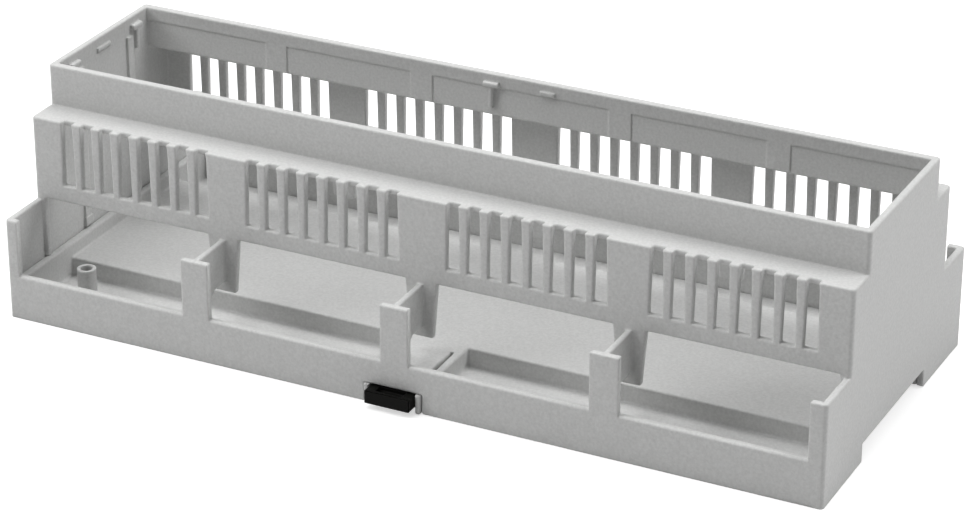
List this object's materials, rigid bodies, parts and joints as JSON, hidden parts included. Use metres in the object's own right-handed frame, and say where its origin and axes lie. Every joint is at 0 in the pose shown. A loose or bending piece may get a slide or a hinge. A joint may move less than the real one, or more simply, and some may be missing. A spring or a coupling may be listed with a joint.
{
  "type": "DIN rail enclosure",
  "caption": "Light grey plastic enclosure for a 35 mm rail, with a raised open nose, slotted shoulders, open wiring bays and a black sliding rail clip.",
  "frame": {"origin": "centre of the flat roof of the rail channel, which the mounting rail seats against", "axes": "+X along the rail and the enclosure's length, +Y from the side of the clip to the side of the fixed hooks, +Z away from the rail towards the open nose"},
  "size_m": [0.213, 0.0933, 0.0584],
  "materials": {
    "grey_plastic": "fine matt moulded light grey",
    "grey_plastic_base": "fine matt moulded light grey",
    "black_plastic": "satin moulded black"
  },
  "bodies": {
    "case": {"body_shell": "grey_plastic", "base_tray": "grey_plastic_base"},
    "clip": {"rail_clip": "black_plastic"}
  },
  "joints": [
    {"name": "clip_slide", "type": "slide", "parent": "case", "child": "clip", "axis": [0, -1, 0], "range_m": [0, 0.003], "stiffness_N_per_m": 1500}
  ]
}
